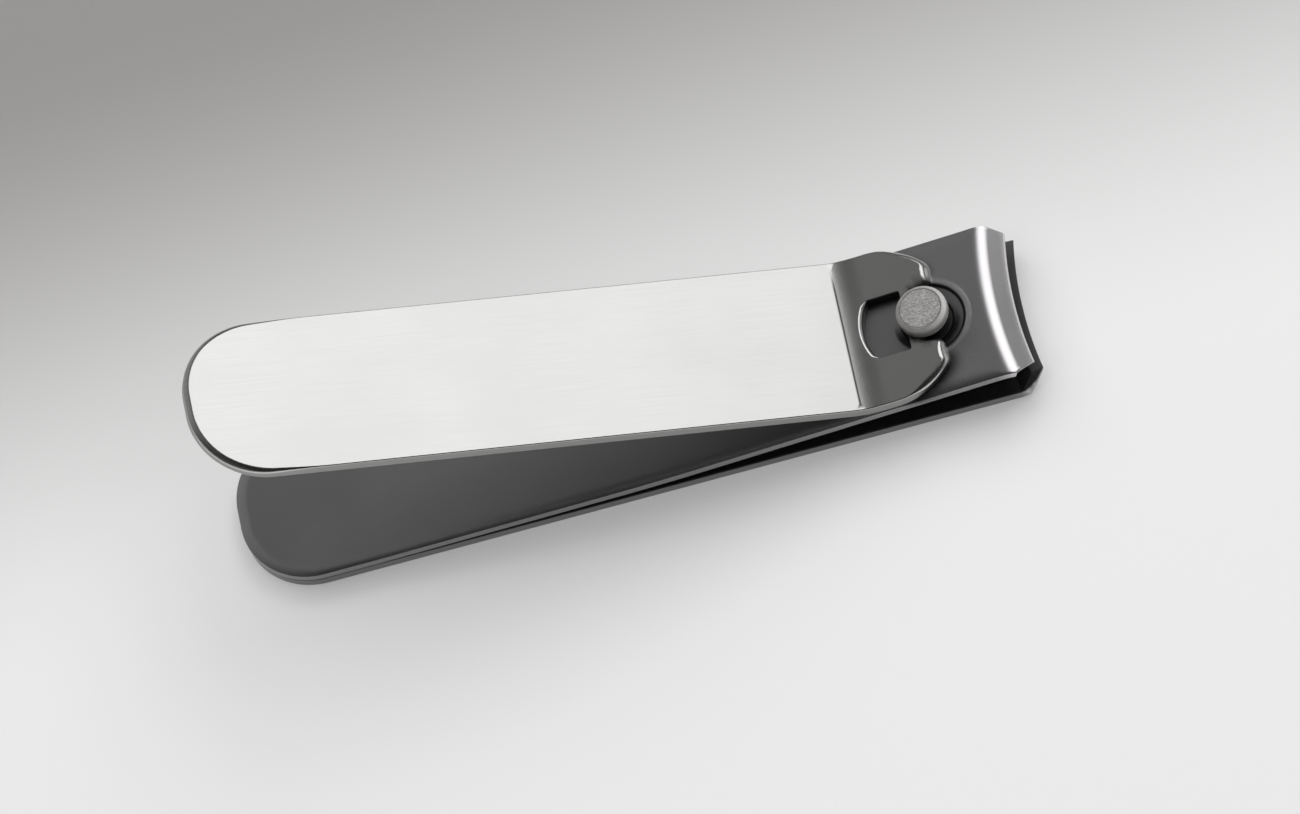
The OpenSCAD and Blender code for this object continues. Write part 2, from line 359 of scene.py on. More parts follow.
def edge_profile(corners):
    """A plate's edge from its top face round to its bottom: rows of (out, up, normal out,
    normal up). Each corner is (inset, depth, radius, steps). One profile can change into
    another along an edge, so the steps are chosen to give every profile 11 rows."""
    line = [np.array([-FAR, 0])] + [np.array([-c[0], -c[1]]) for c in corners]
    line.append(np.array([-FAR, line[-1][1]]))
    rows = []
    for i, corner in enumerate(corners):
        points, normals = fillet(line[i], line[i + 1], line[i + 2], corner[2], corner[3])
        rows += [(*p, *-n) for p, n in zip(points, normals)]
    return np.array(rows)


def rim(thick, top, bottom):
    return edge_profile([(0, 0, top, 5), (0, thick, bottom, 4)])


def rolled_rim(thick, width, sag, bottom):
    """The edge of punched metal: the top face rolls down over some width to a sharp corner."""
    roll = 2 * math.atan2(sag, width)
    radius = ROLL_SHARE * width / 2 / math.tan(roll / 2)
    return edge_profile([
        (width / 2, 0, radius, 4), (0, sag, ROLL_CORNER, 2), (0, thick, bottom, 2)
    ])


# Plates: flat, with rounded edges, then bent

def inside(points, loops):
    """Which points lie in the metal, by counting the edges to their right."""
    found = np.zeros(len(points), bool)
    for loop in loops:
        a, b = loop, np.roll(loop, -1, axis=0)
        low = np.minimum(a[:, 1], b[:, 1])
        high = np.maximum(a[:, 1], b[:, 1])
        rise = b[:, 1] - a[:, 1]
        rise = np.where(abs(rise) < NO_RISE, NO_RISE, rise)
        y = points[:, 1, None]
        x = a[:, 0] + (y - a[:, 1]) * (b[:, 0] - a[:, 0]) / rise
        hit = (y >= low) & (y < high) & (x > points[:, 0, None])
        found ^= (hit.sum(axis=1) % 2).astype(bool)
    return found


def distance_to(others, points):
    """From each point to the nearest one of the others."""
    return np.min(np.linalg.norm(points[:, None] - others[None], axis=2), axis=1)


def clear_of(points, loops, margin):
    near = np.full(len(points), FAR)
    for loop in loops:
        near = np.minimum(near, distance_to(loop, points))
    return near > margin


def fill(loops, seeds, margin):
    """Triangles between the loops, through the seeds that lie well inside."""
    seeds = seeds[inside(seeds, loops)]
    seeds = seeds[clear_of(seeds, loops, margin)]
    points = np.concatenate(loops + [seeds])
    edges, first = [], 0
    for loop in loops:
        n = len(loop)
        edges += [(first + i, first + (i + 1) % n) for i in range(n)]
        first += n
    _, _, faces, origin, _, _ = delaunay_2d_cdt(
        [Vector(p) for p in points], edges, [], 0, MERGE_GAP)
    faces = np.array([[origin[v][0] for v in face] for face in faces])
    centres = points[faces].mean(axis=1)
    return seeds, faces[inside(centres, loops)]


def bent(points, normals, bend):
    """Points and normals after the bend, whose derivative is taken by small steps."""
    step = 1e-4
    moved = bend(points)
    sides = [
        (bend(points + step * axis) - bend(points - step * axis)) / (2 * step) for axis in np.eye(3)
    ]
    cofactor = [np.cross(sides[(i + 1) % 3], sides[(i + 2) % 3]) for i in range(3)]
    turned_normals = sum(normals[:, i, None] * cofactor[i] for i in range(3))
    flip = np.sum(sides[0] * cofactor[0], axis=1).mean() < 0
    return moved, unit(-turned_normals if flip else turned_normals), flip


def make_object(name, points, faces, normals, values):
    """A mesh object with its own normals, and values at its points for the materials."""
    mesh = bpy.data.meshes.new(name)
    mesh.from_pydata([tuple(p) for p in points * MM], [], [tuple(map(int, f)) for f in faces])
    mesh.shade_smooth()
    mesh.normals_split_custom_set_from_vertices([tuple(n) for n in normals])
    for key, value in values.items():
        layer = mesh.attributes.new(key, "FLOAT", "POINT")
        layer.data.foreach_set("value", value.astype(np.float32))
    piece = bpy.data.objects.new(name, mesh)
    bpy.context.scene.collection.objects.link(piece)
    return piece


def plate(name, outlines, bend, seeds, margin, marks, other, weight, toward=None, narrow=None):
    """A sheet-metal piece from outlines (points, normals, edge profile), with the seeds that
    lie some margin inside them, and with marks as values for its material. The first outline's
    edge follows the profile other where weight says so, which is set in along the direction
    toward, and narrow says by how much its own is set in less."""
    rings, ring_normals, starts, sizes, count = [], [], [], [], 0
    for points, normals, profile in outlines:
        first = not rings
        w = weight(points) if first else np.zeros(len(points))
        t = toward(points) if first and toward else normals
        set_in = narrow(points) if first and narrow else np.ones(len(points))
        w, set_in = w[:, None], set_in[:, None]
        for row, second in zip(profile, other):
            flat = points + (1 - w) * normals * row[0] * set_in + w * t * second[0]
            up = (1 - w) * row[1] + w * second[1]
            n = np.hstack((
                (1 - w) * normals * row[2] + w * t * second[2],
                (1 - w) * row[3] + w * second[3]
            ))
            rings.append(np.hstack((flat, up)))
            ring_normals.append(unit(n))
        starts.append(count)
        sizes.append(len(points))
        count += len(points) * len(profile)
    layers = len(other)
    faces = []
    for start, n in zip(starts, sizes):
        for k in range(layers - 1):
            for i in range(n):
                j = (i + 1) % n
                a, b = start + k * n, start + (k + 1) * n
                faces.append((a + i, b + i, b + j, a + j))
    all_points, all_normals = np.concatenate(rings), np.concatenate(ring_normals)
    for layer, up in ((0, 1), (layers - 1, -1)):
        rims = [np.arange(start + layer * n, start + (layer + 1) * n)
                for start, n in zip(starts, sizes)]
        ids = np.concatenate(rims)
        loops = [all_points[rim_ids, :2] for rim_ids in rims]
        extra, triangles = fill(loops, seeds, margin)
        level = all_points[ids[0], 2]
        ids = np.concatenate((ids, len(all_points) + np.arange(len(extra))))
        all_points = np.vstack((all_points, np.hstack((extra, np.full((len(extra), 1), level)))))
        all_normals = np.vstack((all_normals, np.tile([0, 0, up], (len(extra), 1))))
        for face in ids[triangles]:
            a, b, c = all_points[face, :2]
            turn = (b[0] - a[0]) * (c[1] - a[1]) - (b[1] - a[1]) * (c[0] - a[0])
            faces.append(tuple(face) if turn * up > 0 else tuple(face[::-1]))
    up = all_normals[:, 2]
    values = {
        "edge": 1 - np.abs(up), "under": np.maximum(-up, 0),
        # Rims are painted brighter: partly wear, partly a painted highlight
        "wear_and_sheen": 4 * np.maximum(up, 0) * (1 - up),  # 1 where the rim has turned half-way
        **{key: mark(all_points) for key, mark in marks.items()}
    }
    moved, turned_normals, flip = bent(all_points, all_normals, bend)
    if flip:
        faces = [face[::-1] for face in faces]
    return make_object(name, moved, faces, turned_normals, values)


def follow(distance, up, parts):
    """Section of a strip that runs back from x = 0: where a point lies that is some distance
    back and up from its top face. Each part is (length, turn), and positive turns go up."""
    start, heading, begin = np.zeros(2), 0.0, 0.0
    x, z = -distance, up.copy()
    for index, (length, turn) in enumerate(parts):
        last = index == len(parts) - 1
        here = (distance >= begin) if last else (distance >= begin) & (distance < begin + length)
        along = distance - begin
        normal = np.array([math.sin(heading), math.cos(heading)])
        if turn:
            radius = length / turn
            centre = start + normal * radius
            angle = heading + along / radius
            px = centre[0] - (radius - up) * np.sin(angle)
            pz = centre[1] - (radius - up) * np.cos(angle)
            end = heading + turn
            start = centre - radius * np.array([math.sin(end), math.cos(end)])
            heading = end
        else:
            way = np.array([-math.cos(heading), math.sin(heading)])
            px = start[0] + along * way[0] + up * normal[0]
            pz = start[1] + along * way[1] + up * normal[1]
            start = start + way * length
        x, z = np.where(here, px, x), np.where(here, pz, z)
        begin += length
    return x, z


class Jaw:
    """A lip bent down from a flat plate along a line that is curved as its cutting edge is.
    The edge lies reach ahead of the pin and drop below the plate's top face."""

    def __init__(self, reach, drop, lip, bend_r):
        steep = BEVEL_ANGLE - lip
        corner = drop - BEVEL_W * math.sin(BEVEL_ANGLE)
        self.lip, self.bend_r = lip, bend_r
        self.axis = reach + EDGE_R
        self.start = (reach - BEVEL_W * math.cos(BEVEL_ANGLE) - corner / math.tan(lip)
                      - bend_r * math.tan(lip / 2))
        straight = (corner - bend_r * (1 - math.cos(lip))) / math.sin(lip)
        self.flat = self.start + bend_r * lip + straight + BEVEL_W * math.cos(steep)
        tip_x = reach + EDGE_R - math.sqrt(EDGE_R ** 2 - EDGE_W ** 2 / 4)
        self.corner_x = tip_x - CORNER_LEN
        inner = (ARM_T - BEVEL_W * math.sin(steep)) / math.tan(lip - GROUND_ANGLE)
        self.rim = edge_profile([
            (BEVEL_W * math.cos(steep), 0, BEVEL_R, 3), (0, BEVEL_W * math.sin(steep), SHARP_R, 3),
            (inner, ARM_T, INNER_R, 2)
        ])

    def bend(self, p):
        along, up = self.along(p), p[:, 2]
        angle = np.clip((along - self.start) / self.bend_r, 0, self.lip)
        past = np.maximum(along - self.start - self.bend_r * self.lip, 0)
        x = self.start + (self.bend_r + up) * np.sin(angle) + past * math.cos(self.lip)
        z = (self.bend_r + up) * np.cos(angle) - self.bend_r - past * math.sin(self.lip)
        behind = along < self.start
        x, z = np.where(behind, along, x), np.where(behind, up, z)
        return np.column_stack((on_arc(x, p[:, 1], self.axis), p[:, 1], z))

    def corners(self):
        """Corners of the flat plate's front on its -Y half: the cut-off corner and the edge."""
        radius = self.axis - self.flat
        half = math.degrees(math.asin(EDGE_W / 2 / radius))
        edge = arc((self.axis, 0), radius, 180 + half, 180)
        return [(self.corner_x, -ARM_W / 2, CUT_CORNER_R)] + edge

    def along(self, points):
        """How far ahead points lie, measured across the curved rows."""
        return self.axis - np.hypot(self.axis - points[:, 0], points[:, 1])

    def weight(self, points):
        """Where the ground edge replaces the rounded rim."""
        ahead = rises(points[:, 0], self.corner_x, EDGE_FADE)
        return np.where(self.along(points) > self.flat - EDGE_MARGIN, 1, EDGE_SHARE * ahead)

    def toward(self, points):
        return unit(np.column_stack((self.axis - points[:, 0], -points[:, 1])))

    def narrow(self, points):
        """The rolled edge gets narrow before the cut-off corner."""
        ahead = points[:, 0] - self.corner_x + NARROW_BEFORE
        return 1 - NARROW_SHARE * smooth(ahead / NARROW_LEN)

    def polish_and_sheen(self, points):
        """The bend and the ground edge are polished bright, which also paints a highlight there."""
        along = self.along(points)
        end = self.start + self.bend_r * self.lip
        into = smooth((along - self.start + POLISH_PAST) / POLISH_FADE)
        out = smooth((end + POLISH_PAST - along) / POLISH_FADE)
        ground = smooth((along - self.flat + BEVEL_W + POLISH_EDGE) / POLISH_EDGE)
        return np.maximum(into * out, ground)

    def seeds(self, rear):
        """Rows of seed points from the plate's rear end on, close together in the bend."""
        end = self.start + self.bend_r * self.lip
        rows = np.concatenate((
            np.arange(rear + ROW_GAP, self.start - ROW_GAP / 2, ROW_GAP),
            np.arange(self.start - FINE_GAP, end + BEND_MARGIN, BEND_GAP),
            np.arange(end + FINE_GAP, self.flat, FINE_GAP)
        ))
        return grid(rows, ARM_W, SEED_GAP, self.axis)


def to_row(p, lift=0.0):
    """From the pin's frame to the row's."""
    c, s = math.cos(SLOPE), math.sin(SLOPE)
    z = p[:, 2] + lift
    return np.column_stack((
        PIN_AT[0] + p[:, 0] * c - z * s, p[:, 1] + PIN_AT[1], PIN_AT[2] + z * c + p[:, 0] * s
    ))


def on_arc(x, y, axis):
    """The place at y on the arc about (axis, 0) that crosses the middle at x."""
    return axis - np.sqrt((axis - x) ** 2 - y ** 2)


def grid(xs, width, gap, axis=None):
    """Seed points in rows across a plate; the rows are arcs about (axis, 0) if it is given."""
    rows = []
    ys = np.arange(-width / 2, width / 2 + TINY, gap)
    for x in xs:
        across = np.full(len(ys), x) if axis is None else on_arc(x, ys, axis)
        rows.append(np.column_stack((across, ys)))
    return np.concatenate(rows)


def rings_about(radii, count):
    angles = np.arange(count) * 2 * math.pi / count
    return np.concatenate([
        np.column_stack((r * np.cos(angles), r * np.sin(angles))) for r in radii
    ])


def hole(radius):
    """Round hole, its outline with the metal on the left."""
    angles = -np.arange(HOLE_ROUND) * 2 * math.pi / HOLE_ROUND
    points = radius * np.column_stack((np.cos(angles), np.sin(angles)))
    return points, -points / radius


# Arms

def rise_slope():
    """Slope of the rise, for which the flat front's top face passes through the pin's frame."""
    def miss(a):
        x = HINGE_AT[0] + RISE_LEN * math.cos(a) + ARCH_R * (math.sin(SLOPE) - math.sin(a))
        z = ARM_T + RISE_LEN * math.sin(a) + ARCH_R * (math.cos(a) - math.cos(SLOPE))
        return z + ARM_T / math.cos(SLOPE) + (PIN_AT[0] - x) * math.tan(SLOPE) - PIN_AT[2], x

    low, high = 0.0, SLOPE
    for _ in range(HALVINGS):
        middle = (low + high) / 2
        if miss(middle)[0] > 0:
            high = middle
        else:
            low = middle
    return low, miss(low)[1]


def into_dish(p):
    """How far points lie inside the dish's outline."""
    return DISH_R - np.hypot(p[:, 0] - DISH_X, p[:, 1])


def dish_share(p):
    """The dish runs out flat behind the pin."""
    return smooth((p[:, 0] + DISH_BEHIND) / DISH_RUNOUT)


def build_upper_arm():
    slope, arch_x = rise_slope()
    straight = (PIN_AT[0] - arch_x + ARM_T * math.sin(SLOPE)) / math.cos(SLOPE)
    arch = (ARCH_R - ARM_T) * (SLOPE - slope)
    weld_bend = WELD_BEND_R * slope
    rise = RISE_LEN - weld_bend / 2
    weld = HINGE_AT[0] - REAR_X - weld_bend / 2
    parts = [(straight, 0), (arch, SLOPE - slope), (rise, 0), (weld_bend, slope), (weld, 0)]
    rear = -sum(length for length, _ in parts)
    jaw = Jaw(UPPER_REACH, UPPER_DROP, UPPER_LIP, UPPER_BEND_R)
    corners = mirrored([(rear, -ARM_W / 2, ARM_END_R)] + jaw.corners())

    def bend(p):
        q = jaw.bend(p)
        inward = into_dish(p)
        brim = DISH_BRIM * bell(inward + DISH_BRIM_W, DISH_BRIM_W)
        wall = DISH_WALL * smooth(inward / DISH_WALL_W)
        slant = (DISH_DEPTH - DISH_WALL) * np.clip(inward / DISH_SLOPE_W, 0, 1)
        q[:, 2] += (brim - (wall + slant)) * dish_share(p)
        x, z = follow(-p[:, 0], p[:, 2], parts)
        back = p[:, 0] < -DISH_R - DISH_CLEAR
        q[:, 0] = np.where(back, x, q[:, 0])
        q[:, 2] = np.where(back, z, q[:, 2])
        return to_row(q)

    by_nose = grid(np.arange(*NOSE_SEEDS), ARM_W, FINE_GAP, jaw.axis)
    seeds = np.concatenate((jaw.seeds(rear), by_nose))
    seeds = seeds[np.hypot(seeds[:, 0] - DISH_X, seeds[:, 1]) > DISH_SEEDS_CLEAR]
    dish = rings_about(np.arange(*DISH_SEEDS), DISH_SEEDS_ROUND) + [DISH_X, 0]
    dish = dish[np.hypot(dish[:, 0], dish[:, 1]) > HOLE_R + HOLE_MARGIN]
    seeds = np.concatenate((seeds, dish))
    nose = np.array([
        (x, y) for x, y, _ in mirrored(nose_corners())
        if x > BESIDE_FROM and abs(y) > FLARE_Y - TINY
    ])

    def painted_shade(p):
        """Painted shade, which also makes the metal rougher: under the nose, in a patch beside the
        pin, in the dish and its corner, and dark lines about the hole and along the nose, broader
        on the near side."""
        from_pin = np.hypot(p[:, 0], p[:, 1])
        nose_shade = NOSE_SHADE * (1 - rises(from_pin, *NOSE_SHADE_AROUND_SPAN))
        nose_shade *= rises(-p[:, 0], *NOSE_SHADE_BACK_SPAN)
        shade_patch = PATCH_SHADE * bell(np.hypot(p[:, 0] - PATCH_X, p[:, 1] - PATCH_Y), PATCH_R)
        inward = into_dish(p)
        corner = DISH_CORNER_SHADE * bell(inward - DISH_CORNER_W, DISH_CORNER_W)
        dish = np.maximum(corner, DISH_SHADE * smooth(inward / DISH_SHADE_W)) * dish_share(p)
        near = rises(-p[:, 1], *NEAR_SPAN)
        back = rises(-p[:, 0], *BACK_SPAN)
        fade = HOLE_SHADE_FADE + HOLE_SHADE_NEAR * near * (1 - back / 2)
        from_hole = from_pin - HOLE_R - HOLE_SHADE_W - HOLE_SHADE_BACK * back
        by_hole = near * (1 - smooth(from_hole / fade))
        beside = (BESIDE_SHADE + BESIDE_SHADE_NEAR * near) * bell(
            distance_to(nose, p[:, :2]), BESIDE_W + BESIDE_W_NEAR * near)
        marks = np.max([nose_shade, shade_patch, dish, by_hole, beside], axis=0)
        return marks * (p[:, 2] > -ARM_T / 2)

    def polish_and_sheen(p):
        """The jaw's polished places, also a painted highlight, and a painted highlight on the
        dish's brim.
        """
        return np.maximum(
            jaw.polish_and_sheen(p), bell(into_dish(p) + DISH_BRIM_W, BRIM_SHEEN_W) * dish_share(p))

    outlines = [
        (*outline(corners), rolled_rim(ARM_T, ARM_ROLL, ARM_SAG, ARM_RIM_LOW)),
        (*hole(HOLE_R), rim(ARM_T, HOLE_RIM, HOLE_RIM))
    ]
    return plate(
        "upper_arm_steel", outlines, bend, seeds, ARM_MARGIN, {"polish_and_sheen": polish_and_sheen, "painted_shade": painted_shade},
        jaw.rim, jaw.weight, jaw.toward, jaw.narrow
    )


def build_lower_arm():
    """Drawn upside down, so that its jaw bends down like the upper one's, and then turned over."""
    sag = EDGE_R - math.sqrt(EDGE_R ** 2 - EDGE_W ** 2 / 4)
    jaw = Jaw(FRONT_X - PIN_AT[0] - sag, LOWER_RISE, LOWER_LIP, LOWER_BEND_R)
    rear = REAR_X - PIN_AT[0]
    corners = mirrored([(rear, -ARM_W / 2, ARM_END_R)] + jaw.corners())

    def bend(p):
        q = jaw.bend(p)
        from_pin = np.hypot(p[:, 0], p[:, 1])
        wall = BOSS_R - BOSS_WALL * BOSS_TAPER * p[:, 2] / ARM_T
        share = 1 - smooth((from_pin - wall) / (BOSS_WALL * BOSS_WALL_SHARE))
        lift = BOSS_TOP - ARM_T + p[:, 0] * math.tan(SLOPE)
        shift = -math.tan(SLOPE) * (ARM_T - p[:, 2]) * BOSS_LEAN
        return np.column_stack((
            PIN_AT[0] + q[:, 0] + share * shift, q[:, 1], -q[:, 2] + share * lift
        ))

    seeds = jaw.seeds(rear)
    seeds = seeds[np.hypot(seeds[:, 0], seeds[:, 1]) > BOSS_SEEDS_CLEAR]
    boss = rings_about(np.arange(*BOSS_SEEDS), BOSS_SEEDS_ROUND)
    seeds = np.concatenate((seeds, boss))

    def painted_shade(p):
        """Painted shade on the cut edge."""
        return CUT_SHADE * ((p[:, 2] < -CUT_MARGIN) & (p[:, 2] > CUT_MARGIN - ARM_T))

    edge = rim(ARM_T, *LOWER_RIM)
    return plate(
        "lower_arm_steel", [(*outline(corners), edge), (*hole(PIN_R + PIN_GAP), edge)],
        bend, seeds, ARM_MARGIN, {"polish_and_sheen": jaw.polish_and_sheen, "painted_shade": painted_shade},
        jaw.rim, jaw.weight, jaw.toward
    )


# Lever

def nose_corners():
    """Corners of the fork on its -Y half, from the fold to the window's middle."""
    shoulder_y = LEVER_W / 2 - SHOULDER_R
    angle = math.degrees(math.asin((LOBE_Y - shoulder_y) / (SHOULDER_R - LOBE_R)))
    lobe_x = -SHOULDER_X + (SHOULDER_R - LOBE_R) * math.cos(math.radians(angle))
    window_r = (WINDOW_Y ** 2 + WINDOW_SAG ** 2) / (2 * WINDOW_SAG)
    window_angle = math.degrees(math.asin(WINDOW_Y / window_r))
    shoulder = arc((-SHOULDER_X, -shoulder_y), SHOULDER_R, -90, -angle)[:-1]
    lobe = arc((lobe_x, -LOBE_Y), LOBE_R, -angle, LOBE_END)
    tab = [
        (LOBE_FRONT, -FLARE_Y, LOBE_FRONT_R), (-TAB_FRONT, -FLARE_Y, FLARE_R),
        (-TAB_FRONT, -TAB_Y, TAB_FRONT_R), (-TAB_BACK, -TAB_Y, TAB_BACK_R),
        (-TAB_BACK, -WINDOW_Y, TAB_BACK_R)
    ]
    window = arc((window_r - WINDOW_BACK, 0), window_r, 180 + window_angle, 180)
    window[0] = (*window[0][:2], WINDOW_CORNER_R)
    return shoulder + lobe + tab + window


def build_lever():
    rear = -(NOSE_LEN + FOLD_R * FOLD + PANEL_LEN)
    crease = FOLD - EASE
    parts = [
        (CREASE_AT - EASE_LEN, 0), (EASE_LEN, EASE), (CREASE_R * crease, crease), (PANEL_LEN, 0)
    ]
    corners = mirrored([(rear, -LEVER_W / 2, LEVER_END_R)] + nose_corners())

    def bend(p):
        x, z = follow(-p[:, 0], p[:, 2], parts)
        return to_row(np.column_stack((x, p[:, 1], z)), NOSE_GAP + LEVER_T)

    def weight(p):
        """Where the edge is broadly rounded: on the lobes, behind the window and at the rear."""
        ahead, aside = p[:, 0], np.abs(p[:, 1])
        inner = rises(-ahead, *INNER_SPAN) * (aside < INNER_ASIDE)
        outward = LOBE_LEAST + (1 - LOBE_LEAST) * rises(aside, *LOBE_ASIDE_SPAN)
        lobes = rises(ahead, *LOBE_SPAN) * outward * (1 - inner)
        lobes *= 1 - SHOULDER_LESS * rises(aside, *SHOULDER_SPAN)
        window = WINDOW_RIM * rises(-ahead, *WINDOW_BACK_SPAN) * rises(ahead, *WINDOW_END_SPAN)
        window *= rises(-aside, *WINDOW_ASIDE_SPAN)
        end = REAR_RIM * smooth((rear + REAR_RIM_LEN - ahead) / REAR_RIM_FADE)
        return np.maximum(lobes, window) + end

    def painted_shade(p):
        """Painted shade in the crease, on the window's walls and about the pin's head."""
        along = bell(p[:, 0] + CREASE_AT + CREASE_SHADE_W, CREASE_SHADE_W)
        crease = along * smooth((LEVER_W / 2 - CREASE_SHADE_SHORT - p[:, 1]) / CREASE_SHADE_FADE)
        middle = (np.abs(p[:, 1]) < WALL_ASIDE) & (p[:, 0] > -WALL_BEHIND)
        walls = WALL_SHADE * middle * (p[:, 2] < -WALL_TOP)
        beyond = rises(p[:, 1], *BEYOND_ASIDE_SPAN) * rises(p[:, 0], *BEYOND_AHEAD_SPAN)
        from_head = np.hypot(p[:, 0], p[:, 1]) - PIN_R - BEYOND_W * beyond
        return np.max([crease, walls, 1 - rises(from_head, *HEAD_SHADE_SPAN)], axis=0)

    xs = np.concatenate((
        np.arange(rear + ROW_GAP, -NOSE_LEN - ROW_GAP, ROW_GAP),
        np.arange(*FOLD_SEEDS), np.arange(*FORK_SEEDS)
    ))
    return plate(
        "lever_steel", [(*outline(corners), rim(LEVER_T, LEVER_RIM, LEVER_RIM))],
        bend, grid(xs, LEVER_W, SEED_GAP), LEVER_MARGIN, {"painted_shade": painted_shade},
        rim(LEVER_T, LOBE_RIM, LOBE_RIM_LOW), weight
    )


# Pin

def build_pin():
    """The pin's section from its foot up, turned about the axis."""
    foot = (FOOT_R * math.sin(SLOPE) + FLOOR_GAP - PIN_AT[2]) / math.cos(SLOPE)
    corners = [
        (FOOT_R, foot, PIN_RIM), (FOOT_R, foot + FOOT_T, PIN_TOP_RIM),
        (PIN_R, foot + FOOT_T, FOOT_CORNER), (PIN_R, NECK_LOW, NECK_CORNER),
        (NECK_R, NECK_LOW, PIN_RIM), (NECK_R, HEAD_UNDER, PIN_RIM), (HEAD_R, HEAD_UNDER, PIN_RIM),
        (HEAD_R, HEAD_TOP - HEAD_CHAMFER, HEAD_ROUND),
        (HEAD_R - HEAD_CHAMFER, HEAD_TOP, PIN_TOP_RIM)
    ]
    line = [np.array([0, foot])] + [np.array(c[:2]) for c in corners] + [np.array([0, HEAD_TOP])]
    points, normals = [], []
    for i, corner in enumerate(corners):
        p, n = fillet(line[i], line[i + 1], line[i + 2], corner[2], PIN_STEPS)
        points += p
        normals += n
    for radius in TOP_RADII:
        points.append(np.array([radius, HEAD_TOP]))
        normals.append(np.array([0, 1]))
    count = PIN_ROUND
    angles = np.arange(count) * 2 * math.pi / count

    def round_axis(pairs):
        """Each (out, up) of the section, all the way round."""
        return [np.column_stack((out * np.cos(angles), out * np.sin(angles), np.full(count, up)))
                for out, up in pairs]

    all_points = np.concatenate(round_axis(points) + [np.array([[0, 0, foot], [0, 0, HEAD_TOP]])])
    all_normals = np.concatenate(round_axis(normals) + [np.array([[0, 0, -1], [0, 0, 1]])])
    faces = []
    for k in range(len(points) - 1):
        for i in range(count):
            j = (i + 1) % count
            faces.append((k * count + i, k * count + j, (k + 1) * count + j, (k + 1) * count + i))
    bottom, top = len(all_points) - 2, len(all_points) - 1
    last = (len(points) - 1) * count
    for i in range(count):
        j = (i + 1) % count
        faces.append((bottom, j, i))
        faces.append((top, last + i, last + j))
    x, y, z = all_points.T
    up = all_normals[:, 2]
    turn = np.clip(4 * up * (1 - up), 0, 1) * (z > HEAD_UNDER)
    values = {
        "ring": np.hypot(x, y) - z, "top": rises(up, *TOP_SPAN),
        # Painted shade on the neck under the head
        "low": smooth((HEAD_UNDER - z) / LOW_FADE) * smooth((z - NECK_LOW + LOW_DEPTH) / LOW_END),
        # The rim: wear and a painted highlight, stronger towards the jaws
        "wear_and_sheen": turn * (SHEEN_LEAST + (1 - SHEEN_LEAST) * rises(x, *SHEEN_SPAN))
    }
    moved, turned_normals, _ = bent(all_points, all_normals, to_row)
    return make_object("pin_steel", moved, faces, turned_normals, values)


# Materials

# A shade is a factor on the steel's colour, and a range says from where to where a value
# counts. Sizes of grains and depths are in millimetres
NOISE_RANGE = (0.3, 0.7)
BRUSH_SHADES = (0.97, 1.02)
BRUSH_DEPTH = 0.001
CLOUD_SIZE = (14, 9, 9)
CLOUD_SHARE = 0.4
CLOUD_SHADE = 0.96
CLOUD_ROUGH = (-0.01, 0.015)
EDGE_SHADE = 0.6
EDGE_RANGE = (0.5, 0.9)
EDGE_ROUGH = 0.12
POLISH_AND_SHEEN_SHADE = 1.34
UNDER_ROUGH = 0.22
PAINTED_SHADE_TONE = 0.1
PAINTED_SHADE_ROUGH = 0.3

# The pin: rings about its axis, and scratches and specks on its top
PIN_METALLIC = 0.6
RINGS_PER_MM = 9
RING_DEPTH = 0.01
# A ring of painted shade on the top, just inside its edge
GROOVE_R = 2.06
GROOVE_W = 0.1
GROOVE_SHADE = 0.3
SCRATCH_SIZE = (1.1, 0.15, 1.1)
SCRATCH_ANGLES = (20, 75, 130)
SCRATCH_SHARE = 0.6
SCRATCH_DEPTH = 0.03
SPECK_SIZE = (0.2, 0.2, 0.2)
SPECK_SHARE = 0.5
MARK_RANGE = (0.52, 0.7)
MARK_SHADES = (0.62, 1.15)
MARK_ROUGH = 0.05
MARK_ROUGH_RANGE = (0.5, 0.72)
# Brightening of the rim: wear and a painted highlight
WEAR_AND_SHEEN_SHADE = 1.6
# Painted shade on the neck under the head
LOW_SHADE = 0.06

# The welds
GRAIN_SIZE = (0.3, 0.3, 0.3)
GRAIN_SHADE = 0.85
GRAIN_ROUGH = (0.42, 0.6)
GRAIN_DEPTH = 0.02


def shade(colour, factor):
    return tuple(c * factor for c in colour)


